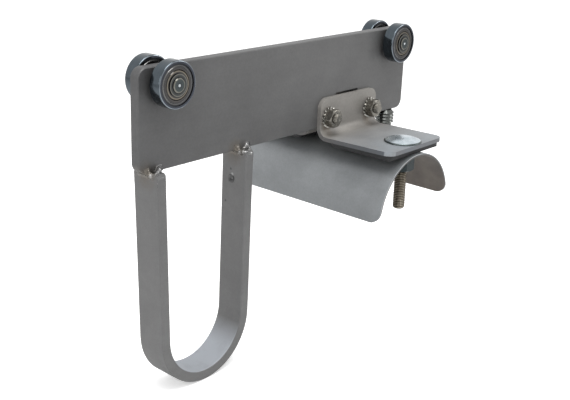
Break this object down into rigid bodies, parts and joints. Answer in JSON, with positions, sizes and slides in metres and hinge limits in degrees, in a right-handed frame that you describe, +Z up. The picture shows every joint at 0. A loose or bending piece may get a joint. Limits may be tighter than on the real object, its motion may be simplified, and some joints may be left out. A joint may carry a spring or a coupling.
{
  "type": "conveyor carrier trolley",
  "caption": "Overhead conveyor trolley: flat plate on ball bearing wheels, with a welded U-shaped strap loop and a half-round saddle bolted under angle brackets.",
  "frame": {"origin": "midway between the two axles, in the plate's middle plane, at the height where the wheels touch the rail", "axes": "+X along the plate towards the brackets and saddle, +Y across the plate away from the picture's camera, +Z up"},
  "size_m": [0.37, 0.192, 0.304],
  "materials": {
    "blasted_steel": "bead-blasted stainless steel, satin",
    "weld_metal": "as welded, uneven and partly bright",
    "bearing_steel": "ground and polished bearing steel",
    "shield_steel": "pressed sheet, satin",
    "axle_steel": "turned steel",
    "fastener_steel": "stainless steel fastener",
    "zinc_plate": "bright bluish zinc plate",
    "pad_rubber": "matt black rubber sheet"
  },
  "bodies": {
    "root": {"carrier_plate": "blasted_steel", "end_stud": "fastener_steel", "front_bracket": "blasted_steel", "front_hanger_bolt": "zinc_plate", "front_hanger_nut": "zinc_plate", "front_hanger_washer": "zinc_plate", "front_left_inner_ring": "bearing_steel", "front_left_spacer": "axle_steel", "front_pad": "pad_rubber", "front_right_inner_ring": "bearing_steel", "front_right_spacer": "axle_steel", "left_axle": "axle_steel", "left_clamp_bolt": "fastener_steel", "left_clamp_nut": "fastener_steel", "left_leg_weld": "weld_metal", "left_lock_washer": "fastener_steel", "rear_bracket": "blasted_steel", "rear_hanger_bolt": "zinc_plate", "rear_hanger_nut": "zinc_plate", "rear_hanger_washer": "zinc_plate", "rear_left_inner_ring": "bearing_steel", "rear_left_spacer": "axle_steel", "rear_pad": "pad_rubber", "rear_right_inner_ring": "bearing_steel", "rear_right_spacer": "axle_steel", "right_axle": "axle_steel", "right_clamp_bolt": "fastener_steel", "right_clamp_nut": "fastener_steel", "right_leg_weld": "weld_metal", "right_lock_washer": "fastener_steel", "saddle": "blasted_steel", "strap_loop": "blasted_steel"},
    "front_left_wheel": {"front_left_outer_ring": "bearing_steel", "front_left_outer_shield": "shield_steel", "front_left_inner_shield": "shield_steel"},
    "front_left_ball_set": {"front_left_cage": "shield_steel", "front_left_balls": "bearing_steel"},
    "front_right_wheel": {"front_right_outer_ring": "bearing_steel", "front_right_outer_shield": "shield_steel", "front_right_inner_shield": "shield_steel"},
    "front_right_ball_set": {"front_right_cage": "shield_steel", "front_right_balls": "bearing_steel"},
    "rear_left_wheel": {"rear_left_outer_ring": "bearing_steel", "rear_left_outer_shield": "shield_steel", "rear_left_inner_shield": "shield_steel"},
    "rear_left_ball_set": {"rear_left_cage": "shield_steel", "rear_left_balls": "bearing_steel"},
    "rear_right_wheel": {"rear_right_outer_ring": "bearing_steel", "rear_right_outer_shield": "shield_steel", "rear_right_inner_shield": "shield_steel"},
    "rear_right_ball_set": {"rear_right_cage": "shield_steel", "rear_right_balls": "bearing_steel"}
  },
  "joints": [
    {"name": "front_left_wheel_spin", "type": "hinge", "parent": "root", "child": "front_left_wheel", "pos_m": [-0.157, -0.015, 0.02], "axis": [0, 1, 0], "continuous": true},
    {"name": "front_left_ball_set_spin", "type": "hinge", "parent": "root", "child": "front_left_ball_set", "pos_m": [-0.157, -0.015, 0.02], "axis": [0, 1, 0], "continuous": true},
    {"name": "front_right_wheel_spin", "type": "hinge", "parent": "root", "child": "front_right_wheel", "pos_m": [0.157, -0.015, 0.02], "axis": [0, 1, 0], "continuous": true},
    {"name": "front_right_ball_set_spin", "type": "hinge", "parent": "root", "child": "front_right_ball_set", "pos_m": [0.157, -0.015, 0.02], "axis": [0, 1, 0], "continuous": true},
    {"name": "rear_left_wheel_spin", "type": "hinge", "parent": "root", "child": "rear_left_wheel", "pos_m": [-0.157, 0.015, 0.02], "axis": [0, 1, 0], "continuous": true},
    {"name": "rear_left_ball_set_spin", "type": "hinge", "parent": "root", "child": "rear_left_ball_set", "pos_m": [-0.157, 0.015, 0.02], "axis": [0, 1, 0], "continuous": true},
    {"name": "rear_right_wheel_spin", "type": "hinge", "parent": "root", "child": "rear_right_wheel", "pos_m": [0.157, 0.015, 0.02], "axis": [0, 1, 0], "continuous": true},
    {"name": "rear_right_ball_set_spin", "type": "hinge", "parent": "root", "child": "rear_right_ball_set", "pos_m": [0.157, 0.015, 0.02], "axis": [0, 1, 0], "continuous": true}
  ],
  "couplings": [
    {"joint": "front_left_ball_set_spin", "follows": "front_left_wheel_spin", "ratio": 0.6178},
    {"joint": "front_right_ball_set_spin", "follows": "front_right_wheel_spin", "ratio": 0.6178},
    {"joint": "rear_left_ball_set_spin", "follows": "rear_left_wheel_spin", "ratio": 0.6178},
    {"joint": "rear_right_ball_set_spin", "follows": "rear_right_wheel_spin", "ratio": 0.6178}
  ]
}
